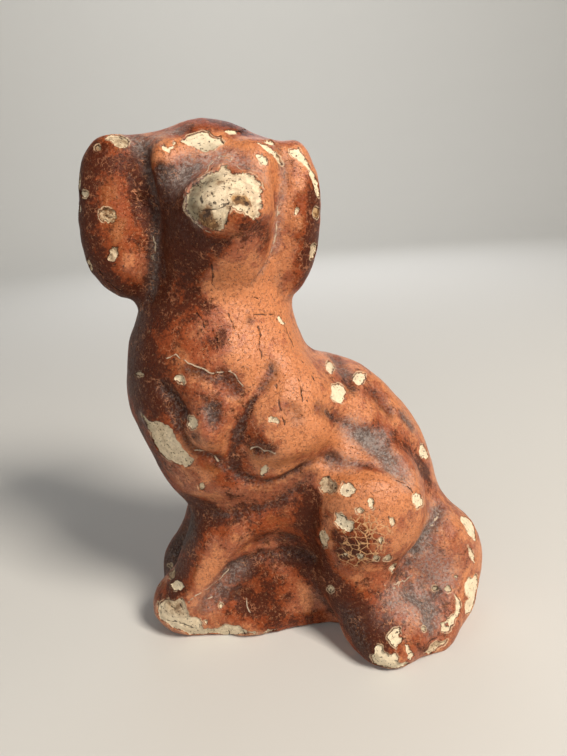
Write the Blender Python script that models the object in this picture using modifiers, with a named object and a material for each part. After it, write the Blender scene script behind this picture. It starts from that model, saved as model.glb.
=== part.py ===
"""Seated spaniel figure, cast in one solid piece on its own flat underside.

The dog sits with its chest towards -X and its head turned to look out of its left side, towards -Y.
Each mass of the body is one form, an egg or a limb, with its place and size in millimetres at the
figure's real height. The forms are fused into one skin, and the skin then settles onto the surface
where neighbouring forms melt into each other, as thick slip and paint do in the angles of a cast.
"""
import math

import bmesh
import bpy
import numpy as np
from mathutils import Euler, Matrix, Vector

HEIGHT = 0.157            # crown of the head above the surface it stands on
SKIN_EDGE = 0.0036        # length of one facet's side
COAT_COLOUR = (0.40, 0.13, 0.045, 1.0)
COAT_ROUGHNESS = 0.38

MODELLED_HEIGHT = 157.0   # the forms below are placed on a figure about this many millimetres tall
PROBE = 0.05              # step for reading the slope of the blended field, in millimetres
SETTLE_ROUNDS = 14
MOST_STEP = 2.5           # the furthest a point may settle in one round, in millimetres
CUT_SNAP = 0.35           # points this near the underside's plane are put on it


def egg(name, centre, half, turn=(0, 0, 0), melt=6.0):
    """An ellipsoid: its centre, half sizes and turn about X, Y and Z in degrees."""
    spin = Euler([math.radians(a) for a in turn]).to_matrix()
    return dict(name=name, kind="egg", centre=Vector(centre), half=Vector(half),
                spin=spin, melt=melt)


def limb(name, start, end, start_radius, end_radius, melt=6.0):
    """A straight limb with round ends, thicker at one end than at the other."""
    return dict(name=name, kind="limb", start=Vector(start), end=Vector(end),
                radii=(start_radius, end_radius), melt=melt)


def crease(name, radius, depth, *points, melt=2.5):
    """A groove pressed along points on the surface, or a round hollow where there is one point."""
    return dict(name=name, radius=radius, depth=depth, points=points, melt=melt)


TORSO = [
    egg("belly", (4, 6, 36), (40, 24, 30), melt=8),
    egg("lower_chest", (-19, 0, 59), (26, 23, 23), melt=9),
    egg("breast", (-23.4, 0, 79.5), (28, 26, 26), melt=9),
    egg("back", (9.5, 4, 51.5), (30, 25, 35.5), turn=(0, -40, 0), melt=10),
    egg("withers", (9, 5, 70.5), (15.5, 20, 12), melt=8),
    limb("neck", (-22.5, 2, 95), (-20.5, 3, 116), 25, 20, melt=8),
]

SHOULDERS = [
    egg("near_shoulder", (-5, -13.5, 73), (16, 14.5, 18.5), melt=7),
    egg("breast_curl", (-24.5, -17, 76), (9.5, 12, 12), melt=3),
]

FORELEGS = [
    limb("near_foreleg", (-19, -8, 42), (-36, -12, 15), 14, 10, melt=4),
    egg("near_paw", (-38.8, -9, 8), (14, 12, 11), melt=5),
    limb("far_foreleg", (-22, 8, 44), (-37, 9, 16), 12, 10, melt=6),
    egg("far_paw", (-41, 9, 9), (11, 12, 13), melt=4),
    egg("base_swell", (-7, -4, 15), (19, 16, 16), melt=4),
    egg("base", (2, 6, 2), (52, 24, 14), melt=6),
    egg("base_front", (-20, -8, 5), (17, 14, 9), melt=5),
]

HINDQUARTER = [
    egg("near_thigh", (19, -16, 43), (17.5, 18, 21.5), turn=(0, 14, 0), melt=3),
    limb("near_hock", (14, -16, 24), (19, -24, 9), 13, 11, melt=5),
    egg("near_hind_paw", (22.5, -26, 6), (12, 15, 10), melt=4),
    egg("outer_toe", (33, -22.5, 5), (13, 13, 12), melt=4),
    egg("far_thigh", (18, 15, 38), (22, 16, 26), melt=7),
    egg("far_hind_paw", (20, 24, 5), (15, 10, 9), melt=5),
    egg("rump_side", (40, -15, 25), (11, 9, 13), melt=8),
    limb("tail_root", (36, -2, 29), (46, -5, 21), 10, 11.3, melt=9),
    limb("tail_end", (45.5, -7, 14), (42, -14, 8), 12, 12, melt=5),
]

HEAD = [
    egg("skull", (-18.5, 4, 131), (19.5, 21, 24), melt=7),
    egg("crown", (-21.5, 1, 142.8), (18.5, 14, 12.5), melt=7),
    egg("jaw", (-17, -10, 124), (14.5, 15, 12), melt=6),
    egg("muzzle", (-13.5, -18, 133.5), (12, 13, 9.5), turn=(6, 0, 8), melt=7),
    egg("near_eye", (-5.5, -11, 142.5), (5.5, 5.5, 7), melt=6),
    egg("far_eye", (-29.5, -10, 143.5), (5.5, 5.5, 7.5), melt=6),
    egg("near_ear_root", (-1, -1, 139.5), (8, 10, 9), melt=7),
    egg("far_ear_root", (-38, -2, 144.5), (9, 9, 9), melt=5),
    egg("near_ear", (3, -1, 128), (8.3, 11, 21.5), turn=(0, 6, 0), melt=3),
    egg("far_ear", (-44.2, -5, 140), (9.6, 9, 14.5), melt=3),
    egg("far_ear_lobe", (-45, -7, 126), (10.6, 9, 16), turn=(0, -6, 0), melt=5),
]

FORMS = TORSO + SHOULDERS + FORELEGS + HINDQUARTER + HEAD

CREASES = [
    crease("breast_to_shoulder", 4, 2.8, (-6, -21, 90), (-10, -25, 84), (-14, -26, 78), (-18, -27, 70),
           (-20, -27, 64)),
    crease("under_shoulder", 4, 2.0, (-19, -27, 65), (-15, -27, 60), (-10, -28, 59), (-5, -28, 60),
           (1, -27, 62), (8, -25, 62)),
    crease("pit_behind_shoulder", 4, 2.5, (9, -24, 63)),
    crease("over_thigh", 3.5, 1.8, (9, -24, 62), (14, -25, 61), (20, -26, 61), (26, -25, 58), (30, -25, 54)),
    crease("under_breast", 3.5, 1.8, (-35, -24, 88), (-32, -26, 81), (-31, -27, 74), (-27, -27, 69),
           (-23, -27, 65), (-19, -27, 62)),
    crease("hollow_beside_it", 3.5, 1.4, (-36, -24, 88), (-33, -25, 85), (-30, -26, 83)),
    crease("throat_hollow", 3.5, 1.6, (-20, -25, 92), (-17, -25, 88), (-14, -25, 84)),
    crease("under_chest", 5, 2.2, (-35, -14, 46), (-27, -21, 46), (-18, -24, 47), (-8, -26, 49),
           (-2, -27, 53), (3, -27, 58)),
    crease("ear_fold_left", 3, 1.6, (-34, -6, 146), (-35, -8, 140), (-34, -11, 133), (-34, -12, 127),
           (-36, -11, 118), (-38, -9, 110)),
    crease("ear_fold_right", 3, 1.6, (-1, -8, 144), (0, -10, 136), (-1, -12, 129), (-2, -12, 122),
           (-5, -13, 117)),
    crease("far_socket", 4, 1.2, (-24, -15, 143)),
    crease("near_socket", 4, 1.0, (-8, -16, 143)),
    crease("crease_of_foreleg", 4.5, 2.8, (-12, -22, 31), (-18, -21, 29), (-24, -21, 26), (-30, -21, 18),
           (-35, -20, 12)),
    crease("over_base_swell", 4.5, 2.2, (-19, -21, 30), (-13, -22, 32), (-6, -23, 31), (-1, -23, 28)),
    crease("tail_to_thigh", 3, 2.2, (43, -14, 39), (40, -18, 34), (36, -22, 30), (32, -26, 26),
           (29, -28, 21)),
    crease("tail_to_paw", 3.5, 2.4, (29, -28, 21), (34, -27, 19), (37, -28, 15), (37, -31, 9), (37, -33, 4)),
    crease("flank_hollow", 5, 1.6, (14, -19, 68), (19, -20, 65), (24, -21, 61), (28, -23, 58)),
    crease("hollow_over_shoulder", 3.5, 1.2, (6, -23, 78), (9, -20, 74), (14, -18, 69)),
    crease("back_hollow", 3.5, 1.2, (14, 4, 84), (15, -3, 82), (16, -8, 79)),
    crease("rear_back_hollow", 3.5, 1.3, (23, -7, 76), (26, -8, 73), (29, -9, 69)),
]


def distance_to(form, points):
    """Signed distance in millimetres from points to one form, negative inside."""
    if form["kind"] == "egg":
        local = (points - np.array(form["centre"])) @ np.array(form["spin"])
        half = np.array(form["half"])
        near = np.linalg.norm(local / half, axis=1)
        slope = np.linalg.norm(local / half ** 2, axis=1)
        return near * (near - 1.0) / np.maximum(slope, 1e-9)
    start, end = np.array(form["start"]), np.array(form["end"])
    along = np.clip((points - start) @ (end - start) / ((end - start) @ (end - start)), 0, 1)
    radius = form["radii"][0] + along * (form["radii"][1] - form["radii"][0])
    return np.linalg.norm(points - start - along[:, None] * (end - start), axis=1) - radius


def melted(points):
    """The fused forms' signed distance, each form melting into those before it."""
    whole = distance_to(FORMS[0], points)
    for form in FORMS[1:]:
        part = distance_to(form, points)
        overlap = np.maximum(form["melt"] - np.abs(whole - part), 0) / form["melt"]
        whole = np.minimum(whole, part) - overlap ** 2 * form["melt"] / 4
    return whole


def creased(points):
    """The finished figure's signed distance: the fused forms with the creases pressed in."""
    whole = melted(points)
    for groove, centres in zip(CREASES, CREASE_CENTRES):
        tool = np.full(len(points), 1e3)
        for start, end in zip(centres, centres[1:] if len(centres) > 1 else centres):
            run = end - start
            along = np.clip((points - start) @ run / max(run @ run, 1e-9), 0, 1)
            tool = np.minimum(tool, np.linalg.norm(points - start - along[:, None] * run, axis=1))
        tool = groove["radius"] - tool
        overlap = np.maximum(groove["melt"] - np.abs(whole - tool), 0) / groove["melt"]
        whole = np.maximum(whole, tool) + overlap ** 2 * groove["melt"] / 4
    return whole


def slope_of(field, points):
    """The field's slope at each point, which is the surface's outward direction there."""
    slope = np.empty_like(points)
    for axis in range(3):
        step = np.zeros(3)
        step[axis] = PROBE
        slope[:, axis] = (field(points + step) - field(points - step)) / (2 * PROBE)
    return slope


def moved_onto(field, points):
    """The points moved along the field's slope towards its surface, no further than MOST_STEP."""
    slope = slope_of(field, points)
    steep = np.maximum((slope ** 2).sum(axis=1), 0.05)
    step = slope * (field(points) / steep)[:, None]
    length = np.linalg.norm(step, axis=1)[:, None]
    return points - step * np.minimum(1.0, MOST_STEP / np.maximum(length, 1e-9))


def crease_centres(groove):
    """The path that a round tool follows to press one crease, which fades out at both ends."""
    points = np.array(groove["points"], float)
    for _ in range(6):
        points = moved_onto(melted, points)
    outward = slope_of(melted, points)
    outward /= np.linalg.norm(outward, axis=1)[:, None]
    depth = np.full(len(points), float(groove["depth"]))
    if len(points) > 2:
        depth[[0, -1]] *= 0.25
    return points + outward * (groove["radius"] - depth)[:, None]


def rough_form(form):
    """One form as a plain closed mesh, in millimetres: a ball, or the hull of a limb's two balls."""
    mesh = bmesh.new()
    if form["kind"] == "egg":
        place = Matrix.LocRotScale(form["centre"], form["spin"].to_quaternion(), form["half"])
        bmesh.ops.create_icosphere(mesh, subdivisions=4, radius=1.0, matrix=place)
        return mesh
    for end, radius in zip((form["start"], form["end"]), form["radii"]):
        bmesh.ops.create_icosphere(mesh, subdivisions=3, radius=radius,
                                   matrix=Matrix.Translation(end))
    hull = bmesh.ops.convex_hull(mesh, input=mesh.verts)
    inner = [v for v in hull["geom_interior"] if isinstance(v, bmesh.types.BMVert)]
    bmesh.ops.delete(mesh, geom=inner, context="VERTS")
    return mesh


def fused_skin():
    """Every added form in one mesh, fused into one skin of even facets by a voxel remesh."""
    joined = bpy.data.meshes.new("rough_forms")
    whole = bmesh.new()
    for form in FORMS:
        piece = rough_form(form)
        piece.to_mesh(joined)
        piece.free()
        whole.from_mesh(joined)
    whole.to_mesh(joined)
    whole.free()
    rough = bpy.data.objects.new("rough_forms", joined)
    bpy.context.scene.collection.objects.link(rough)
    fuse = rough.modifiers.new("Fuse", "REMESH")
    fuse.mode = "VOXEL"
    fuse.voxel_size = SKIN_EDGE * MODELLED_HEIGHT / HEIGHT
    graph = bpy.context.evaluated_depsgraph_get()
    skin = bpy.data.meshes.new_from_object(rough.evaluated_get(graph))
    bpy.data.objects.remove(rough)
    bpy.data.meshes.remove(joined)
    return skin


def settle(skin):
    """Moves the skin's points onto the melted surface, evening their spacing between rounds."""
    points = np.empty(len(skin.vertices) * 3, np.float32)
    skin.vertices.foreach_get("co", points)
    points = points.reshape(-1, 3).astype(float)
    edges = np.empty(len(skin.edges) * 2, np.int32)
    skin.edges.foreach_get("vertices", edges)
    first, second = edges.reshape(-1, 2).T
    count = np.bincount(edges, minlength=len(points))[:, None]
    for _ in range(SETTLE_ROUNDS):
        total = np.zeros_like(points)
        np.add.at(total, first, points[second])
        np.add.at(total, second, points[first])
        points += 0.5 * (total / count - points)
        for _ in range(2):
            points = moved_onto(creased, points)
    skin.vertices.foreach_set("co", points.astype(np.float32).ravel())
    skin.update()


def cut_flat(skin):
    """Cuts the skin off at the surface that the figure stands on, and closes the underside."""
    body = bmesh.new()
    body.from_mesh(skin)
    for vertex in body.verts:
        if abs(vertex.co.z) < CUT_SNAP:
            vertex.co.z = 0.0
    everything = body.verts[:] + body.edges[:] + body.faces[:]
    bmesh.ops.bisect_plane(body, geom=everything, dist=1e-4, plane_co=(0, 0, 0),
                           plane_no=(0, 0, 1), clear_inner=True)
    rim = [edge for edge in body.edges if edge.is_boundary]
    bmesh.ops.contextual_create(body, geom=rim)
    bmesh.ops.triangulate(body, faces=[face for face in body.faces if len(face.verts) > 4])
    bmesh.ops.recalc_face_normals(body, faces=body.faces)
    body.to_mesh(skin)
    body.free()


def place_and_size(skin):
    """Stands the skin with its bounding box centred over the origin and its crown at HEIGHT."""
    points = np.array([vertex.co for vertex in skin.vertices])
    middle = (points.min(axis=0) + points.max(axis=0)) / 2
    crown = points[:, 2].max()
    skin.transform(Matrix.Translation((-middle[0], -middle[1], 0)))
    skin.transform(Matrix.Scale(HEIGHT / crown, 4))


def coat_material():
    """The orange-brown coat that covers the whole cast."""
    material = bpy.data.materials.new("crazed_orange_coat")
    material.use_nodes = True
    shader = material.node_tree.nodes["Principled BSDF"]
    shader.inputs["Base Color"].default_value = COAT_COLOUR
    shader.inputs["Roughness"].default_value = COAT_ROUGHNESS
    shader.inputs["Metallic"].default_value = 0.0
    return material


def make_figure():
    skin = fused_skin()
    settle(skin)
    cut_flat(skin)
    place_and_size(skin)
    skin.name = "dog_figure"
    skin.materials.append(coat_material())
    skin.shade_smooth()
    figure = bpy.data.objects.new("dog_figure", skin)
    collection = bpy.data.collections.new("Seated spaniel figure")
    bpy.context.scene.collection.children.link(collection)
    collection.objects.link(figure)
    return figure


for leftover in list(bpy.data.objects):
    bpy.data.objects.remove(leftover)
CREASE_CENTRES = [crease_centres(groove) for groove in CREASES]
make_figure()
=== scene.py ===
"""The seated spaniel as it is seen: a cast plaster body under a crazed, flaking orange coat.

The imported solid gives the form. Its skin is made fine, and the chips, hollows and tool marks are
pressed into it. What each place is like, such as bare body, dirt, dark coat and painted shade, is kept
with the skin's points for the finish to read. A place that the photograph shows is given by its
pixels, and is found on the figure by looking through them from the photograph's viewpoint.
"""
import math
import random
from functools import partial

import bmesh
import bpy
import numpy as np
from mathutils import Matrix, Vector, noise
from mathutils.bvhtree import BVHTree


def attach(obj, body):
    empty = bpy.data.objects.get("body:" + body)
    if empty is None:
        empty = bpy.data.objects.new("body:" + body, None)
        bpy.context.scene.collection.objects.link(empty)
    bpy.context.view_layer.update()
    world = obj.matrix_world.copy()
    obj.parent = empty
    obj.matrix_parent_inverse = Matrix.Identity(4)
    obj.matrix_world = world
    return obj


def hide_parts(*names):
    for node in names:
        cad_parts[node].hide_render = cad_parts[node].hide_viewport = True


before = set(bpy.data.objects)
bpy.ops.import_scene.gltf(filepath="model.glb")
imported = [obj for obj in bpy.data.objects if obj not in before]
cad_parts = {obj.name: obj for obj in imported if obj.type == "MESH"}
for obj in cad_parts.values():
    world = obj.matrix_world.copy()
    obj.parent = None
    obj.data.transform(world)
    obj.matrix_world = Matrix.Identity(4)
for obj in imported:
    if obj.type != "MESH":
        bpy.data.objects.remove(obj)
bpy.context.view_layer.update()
MM = 1000.0               # the figure is in metres, and its features are given in millimetres

# The photograph's viewpoint
EYE = Vector((-0.00428, -0.17476, 0.13920))
LOOKS_DOWN = 18.26        # degrees below level
LEANS = -4.68             # degrees that the picture is turned about the line of sight
PICTURE = (567, 756)
FOCAL_PIXELS = 600.0
SIGHT_TURN = (Matrix.Rotation(math.radians(90 - LOOKS_DOWN), 3, "X")
              @ Matrix.Rotation(math.radians(LEANS), 3, "Z"))

# The fine skin
SKIN_LEVELS = 2           # times that the solid's facets are split in four
REFINE_BANDS = ((0.9, 0.6), (0.42, 0.36))  # mm from a chip's edge, and the longest edge left there
LUMP_SIZE, LUMP_HEIGHT = 9.0, 0.32        # hand-finished unevenness of the form, mm
DIMPLE_SIZE, DIMPLE_HEIGHT = 2.6, 0.10    # brush and casting marks, mm
CHIP_DEPTH = 0.42         # how thick the coat and its ground are, mm
LIP_HEIGHT = 0.10         # how far the coat's broken edge lifts, mm
PIT_DEPTH = 0.35          # air bubbles in the bare plaster, mm
GROOVE_REACH = 1.6        # how far a groove fades out, in its half widths
GRIME_AND_SHADE_REACH = 2.3         # how far its dirt and painted shade do

# What is kept with the skin's points for the finish
LAYERS = ("bare", "soil", "grime_and_shade", "sunk", "tone", "dust_and_shade", "craze", "scratch_and_glint", "crack_and_shadow")
TINT_REACH = 1.7          # how far a tint fades out, in its half widths
LINE_WIDTH = 0.40         # half width of a drawn line, mm
LINE_SWAY = 0.55          # how far a drawn line wanders from its pixels, mm
LINE_RISE, LINE_SINK = 0.15, 0.20         # height of a pale line and depth of a dark one, mm


def chip(name, *pixels, depth=CHIP_DEPTH, soil=0.15):
    """Bare body where the coat has flaked off, by the corners of its outline in pixels."""
    return dict(name=name, pixels=pixels, depth=depth, soil=soil)


def island(name, *pixels):
    """A scrap of coat left standing inside a chip."""
    return dict(name=name, pixels=pixels)


def fleck(name, x, y, half_width, half_height, tilt=0, depth=CHIP_DEPTH, soil=0.15):
    """A small chip of nearly oval outline, by its middle, half sizes and tilt."""
    draw = random.Random(name)
    pixels = []
    for step in range(9):
        angle = math.tau * step / 9
        reach = draw.uniform(0.78, 1.2)
        across, up = half_width * reach * math.cos(angle), half_height * reach * math.sin(angle)
        lean = math.radians(tilt)
        pixels.append((x + across * math.cos(lean) - up * math.sin(lean),
                       y + across * math.sin(lean) + up * math.cos(lean)))
    return dict(name=name, pixels=pixels, depth=depth, soil=soil)


CHIPS = [
    chip("muzzle", (221, 165), (227, 165), (231, 171), (236, 174), (243, 173), (250, 174), (256, 178),
         (261, 183), (262, 191), (263, 199), (262, 208), (261, 217), (258, 222), (254, 221), (249, 216),
         (244, 212), (239, 211), (233, 208), (230, 206), (228, 213), (227, 220), (224, 227), (218, 231),
         (211, 230), (203, 227), (193, 221), (187, 214), (184, 206), (186, 199), (188, 189), (192, 184),
         (200, 179), (207, 174), (214, 171), (219, 169), depth=0.6, soil=0.4),
    chip("forehead", (181, 142), (186, 137), (195, 134), (203, 132), (207, 132), (210, 135), (215, 138),
         (221, 139), (224, 142), (219, 145), (213, 149), (206, 151), (199, 149), (192, 146), (186, 144)),
    chip("crown", (224, 131), (228, 129), (234, 129), (240, 131), (236, 133), (230, 134)),
    chip("far_brow", (160, 147), (164, 144), (168, 148), (174, 141), (176, 143), (170, 150), (169, 154),
         (165, 151)),
    chip("near_temple", (256, 142), (264, 143), (273, 149), (280, 156), (283, 164), (279, 162), (270, 153),
         (262, 147)),
    fleck("near_ear_root", 269, 142, 5, 2, 10),
    chip("near_brow", (256, 154), (261, 155), (266, 159), (268, 162), (265, 166), (261, 165), (258, 161)),
    chip("near_ear_strip", (290, 150), (299, 148), (306, 157), (312, 168), (318, 183), (319, 197),
         (315, 190), (310, 174), (304, 164), (294, 157)),
    fleck("near_ear_nick", 297, 211, 2.2, 4.5, 12),
    fleck("near_ear_edge", 315, 251, 4, 8, 15, soil=0.4),
    fleck("near_ear_gloss", 316, 213, 3.5, 5, 0, depth=0.15, soil=1.5),
    chip("far_ear_top", (103, 137), (110, 132), (120, 134), (129, 141), (127, 146), (120, 148), (114, 145),
         (112, 141), soil=0.6),
    fleck("far_ear_pin", 98, 148, 3, 3, 0, soil=0.9),
    fleck("far_ear_round", 108, 216, 10, 8, 10, soil=1.1),
    fleck("far_ear_low", 113, 255, 5.5, 7.5, 20, soil=0.7),
    fleck("far_ear_nick", 85, 194, 4, 2.5, 40, soil=0.3),
    fleck("far_ear_rim_high", 80, 181, 1.6, 9, 0),
    fleck("far_ear_rim", 79, 209, 1.6, 5, 0),
    fleck("far_ear_rim_low", 88, 264, 2.5, 8, -25, soil=0.5),
    chip("breast_side", (142, 413), (151, 422), (161, 423), (168, 426), (174, 435), (179, 443), (186, 452),
         (194, 460), (181, 466), (171, 461), (159, 451), (153, 439), (147, 425), soil=0.3),
    fleck("breast_top", 180, 379, 7, 3.4, 25),
    fleck("breast_middle", 193, 423, 6, 5, 20),
    fleck("breast_low", 264, 471, 2.6, 6, 30),
    fleck("breast_far", 139, 374, 4, 2, 10, soil=0.3),
    fleck("under_breast", 202, 487, 3, 4, 0, soil=0.4),
    fleck("neck_slit", 281, 320, 2.0, 6, -35),
    fleck("throat_grey", 274, 420, 6, 3.4, 15, depth=0.2, soil=0.6),
    fleck("withers", 330, 367, 4.5, 7, -20),
    fleck("shoulder", 339, 394, 7.5, 10, 0),
    fleck("back_round", 360, 378, 6, 6.4, 0),
    fleck("back_ridge", 403, 400, 3, 5, -35),
    fleck("flank", 423, 452, 5, 9, -20),
    fleck("haunch_rear", 417, 500, 5, 8, -20),
    fleck("haunch_top", 327.5, 486, 9, 8.5, 0, soil=0.9),
    fleck("haunch_front", 347.5, 489, 7.5, 6.8, 0),
    fleck("haunch_slit", 371, 503, 3, 5.6, 0),
    fleck("haunch_pin", 360, 510, 3.7, 3, 0, soil=0.6),
    chip("haunch_patch", (334, 522), (336, 513), (342, 513), (347, 520), (354, 522), (353, 529), (350, 533),
         (344, 530), (338, 527), soil=0.0),
    fleck("haunch_side", 323.5, 538, 4.2, 9.5, -15, soil=0.5),
    fleck("haunch_ring", 393, 522, 3, 5, -25, soil=0.4),
    fleck("haunch_dot_high", 381, 541, 1.8, 2.8, 0),
    fleck("haunch_ring_low", 388, 558, 4.2, 3.4, -25, soil=0.5),
    fleck("haunch_dot", 393, 568, 2.8, 3.6, 0),
    fleck("haunch_spot", 376, 558, 3.2, 2.5, 0),
    fleck("haunch_star", 360, 557, 3.6, 2.4, 0),
    fleck("haunch_speck", 345, 555, 2, 1.5, 0),
    fleck("haunch_foot", 331, 589, 3.6, 3, 0, soil=0.35),
    chip("hind_foot", (378, 645), (382, 646), (384, 653), (391, 655), (395, 653), (399, 658), (398, 663),
         (405, 662), (414, 664), (405, 668), (387, 671), (371, 668), (369, 664), (372, 655), (375, 651),
         soil=0.0),
    chip("hind_foot_top", (387, 638), (390, 633), (396, 628), (400, 628), (399, 637), (405, 638),
         (401, 642), (396, 648), (392, 644)),
    chip("hind_foot_side", (405, 645), (409, 644), (412, 653), (415, 656), (410, 660), (407, 653)),
    chip("tail_side", (465, 583), (469, 577), (476, 574), (479, 581), (480, 593), (477, 604), (470, 612),
         (465, 613), (465, 605), (469, 599), (465, 589)),
    chip("tail_top", (461, 521), (465, 516), (471, 520), (476, 531), (477, 540), (473, 538), (467, 531)),
    chip("tail_strip", (468, 546), (473, 553), (476, 563), (473, 561), (469, 553)),
    chip("tail_hook", (455, 595), (460, 603), (460, 613), (455, 619), (451, 626), (447, 632), (441, 631),
         (440, 623), (447, 620), (454, 615), (456, 607)),
    fleck("tail_dot", 448, 589, 3.4, 3.6, 0),
    fleck("tail_pin", 435, 588, 2.6, 2.2, 0),
    fleck("tail_glint", 456, 577, 1.4, 1.4, 0),
    fleck("tail_speck", 424, 629, 2.2, 2.2, 0),
    chip("tail_foot", (425, 653), (431, 645), (439, 642), (447, 639), (445, 644), (436, 650), (427, 657),
         soil=0.7),
    chip("front_foot", (159, 603), (166, 600), (176, 600), (182, 598), (186, 607), (188, 615), (197, 618),
         (202, 624), (203, 629), (212, 629), (222, 627), (237, 626), (245, 630), (255, 631), (256, 634),
         (241, 637), (222, 639), (206, 639), (195, 635), (180, 630), (168, 624), (160, 618), (158, 611),
         soil=0.2),
    chip("front_rim_end", (264, 633), (268, 629), (276, 629), (278, 631), (270, 634)),
    chip("front_foot_high", (171, 584), (177, 580), (182, 583), (184, 587), (178, 590), (172, 589)),
    chip("front_foot_ochre", (167, 565), (172, 564), (175, 572), (174, 578), (168, 576), soil=0.8),
    fleck("front_foot_far", 159, 583, 2.4, 4, 25),
    fleck("front_foot_dot", 221, 606, 1.5, 2.6, 0),
    fleck("front_foot_speck", 206, 622, 1.5, 2, 0),
]

ISLANDS = [
    island("rim_scrap_end", (246, 630), (250, 630), (250, 634), (247, 634)),
    island("hook_scrap", (445, 623), (449, 623), (449, 627), (445, 627)),
    island("hind_scrap", (385, 646), (390, 646), (389, 652), (386, 652)),
]


def hollow(name, radius, depth, *pixels, grime_and_shade=0.6):
    """A groove pressed along pixels, or a dip at one: its half width and depth in mm, and how much dirt and
    painted shade darken it.
    """
    return dict(name=name, radius=radius, depth=depth, pixels=pixels, grime_and_shade=grime_and_shade)


HOLLOWS = [
    hollow("nose_bridge", 2.6, 0.35, (188, 170), (200, 162), (212, 155), grime_and_shade=0.1),
    hollow("far_socket", 1.1, 0.7, (161, 168), (161, 173), (162, 180), grime_and_shade=1.0),
    hollow("socket_corner", 0.6, 0.3, (166, 172), (173, 170), grime_and_shade=0.8),
    hollow("far_ear_fold", 1.3, 0.7, (139, 148), (146, 166), (153, 188), (157, 212), (155, 235),
           (155, 253), (154, 275), (151, 297), grime_and_shade=0.9),
    hollow("near_ear_fold", 1.0, 0.5, (279, 156), (284, 170), (287, 185), (281, 198), (278, 212),
           (277, 236), (272, 254), (262, 271), (250, 286), grime_and_shade=0.3),
    hollow("far_crown_fold", 2.0, 0.3, (132, 137), (141, 143), (147, 155), grime_and_shade=0.4),
    hollow("near_crown_fold", 1.8, 0.3, (276, 146), (283, 156), (287, 166), grime_and_shade=0.4),
    hollow("under_muzzle", 3.0, 1.0, (185, 222), (192, 234), (206, 242), (222, 244), (240, 240), (258, 230),
           grime_and_shade=0.15),
    hollow("breast_line_top", 1.3, 0.6, (272, 366), (273, 376), (263, 387), grime_and_shade=0.7),
    hollow("breast_line", 1.0, 0.3, (263, 387), (253, 402), (245, 419), (236, 440),
           (232, 457), (238, 473), grime_and_shade=0.3),
    hollow("shoulder_line", 1.5, 1.0, (238, 473), (250, 481), (266, 484), (284, 479), (307, 465),
           (322, 458), grime_and_shade=0.6),
    hollow("shoulder_pit", 1.9, 1.9, (331, 459), grime_and_shade=1.2),
    hollow("haunch_line", 1.3, 0.7, (339, 462), (363, 465), (385, 468), (402, 476), grime_and_shade=0.25),
    hollow("far_lobe_line", 1.3, 0.9, (171, 408), (176, 420), (182, 433), (190, 446), (203, 453),
           (218, 460), (230, 470), (238, 477), grime_and_shade=0.6),
    hollow("breast_oval", 2.1, 1.5, (212, 408), (214, 419), grime_and_shade=1.0),
    hollow("breast_gouge", 1.6, 1.0, (163, 388), (173, 398), (181, 408), (185, 418), grime_and_shade=0.8),
    hollow("under_crack", 1.2, 0.4, (187, 370), (200, 373), (214, 378), grime_and_shade=0.6),
    hollow("breast_notch", 1.7, 0.9, (222, 375), (230, 382), (236, 390), grime_and_shade=0.7),
    hollow("throat_dip", 1.8, 0.7, (293, 410), (297, 418), grime_and_shade=0.5),
    hollow("belly_dip", 2.0, 0.9, (258, 450), (268, 451), grime_and_shade=0.7),
    hollow("far_lobe_dip", 1.5, 0.4, (197, 436), grime_and_shade=0.6),
    hollow("under_chest", 2.2, 0.6, (190, 508), (215, 516), (245, 514), (275, 504), (296, 490),
           (309, 474), grime_and_shade=0.3),
    hollow("foreleg_fold", 2.0, 0.7, (262, 556), (250, 559), (233, 566), (222, 580), (212, 594),
           (200, 612), grime_and_shade=0.35),
    hollow("base_hump_top", 1.7, 0.9, (262, 556), (280, 553), (298, 553), (313, 558), grime_and_shade=0.6),
    hollow("tail_crease", 1.3, 1.0, (441, 507), (432, 525), (424, 536), (418, 543), (413, 551), grime_and_shade=0.5),
    hollow("thigh_crease", 1.1, 0.4, (409, 562), (401, 576), (391, 588), (377, 594), grime_and_shade=0.15),
    hollow("foot_crease", 1.7, 0.7, (407, 585), (410, 596), (420, 604), (428, 614), (429, 626), grime_and_shade=0.35),
    hollow("foot_crease_side", 1.2, 0.5, (420, 603), (430, 597), (438, 591), grime_and_shade=0.6),
    hollow("withers_fold", 1.8, 0.9, (334, 357), (341, 367), (347, 378), (351, 390), grime_and_shade=0.6),
    hollow("back_dip", 1.8, 0.8, (372, 392), (381, 401), (390, 412), grime_and_shade=0.6),
    hollow("flank_hollow", 2.5, 0.8, (350, 431), (362, 438), (375, 447), (388, 460), (400, 473), grime_and_shade=0.4),
    hollow("shoulder_fold", 1.6, 0.7, (318, 408), (330, 415), (343, 425), grime_and_shade=0.6),
    hollow("rear_dip", 1.5, 0.4, (403, 416), (410, 426), grime_and_shade=0.6),
    hollow("ring_dot", 0.9, 0.5, (250, 321), grime_and_shade=0.9),
]

SWELLS = [
    hollow("far_brow", 4.5, -0.5, (166, 160), grime_and_shade=0),
    hollow("near_brow", 4.0, -0.4, (262, 160), grime_and_shade=0),
    hollow("muzzle_bead", 0.8, -0.6, (238, 181), grime_and_shade=0),
    hollow("lobe_crest", 2.2, -0.5, (270, 382), (264, 395), (258, 410), grime_and_shade=0),
    hollow("far_lobe", 4.5, -0.7, (190, 430), (208, 443), grime_and_shade=0),
    hollow("upper_far_lobe", 4.0, -0.4, (182, 380), (200, 392), grime_and_shade=0),
    hollow("belly_lobe", 6.0, -0.8, (265, 428), (282, 448), grime_and_shade=0),
    hollow("throat_lobe", 3.5, -0.4, (284, 395), (290, 380), grime_and_shade=0),
    hollow("shoulder_knob", 4.5, -0.5, (318, 430), grime_and_shade=0),
    hollow("withers_ridge", 3.0, -0.4, (325, 385), (345, 405), (365, 425), grime_and_shade=0),
    hollow("back_ridge", 3.0, -0.4, (375, 378), (400, 408), (418, 445), grime_and_shade=0),
    hollow("haunch_knob", 5.0, -0.5, (372, 495), (350, 500), grime_and_shade=0),
]
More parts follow.
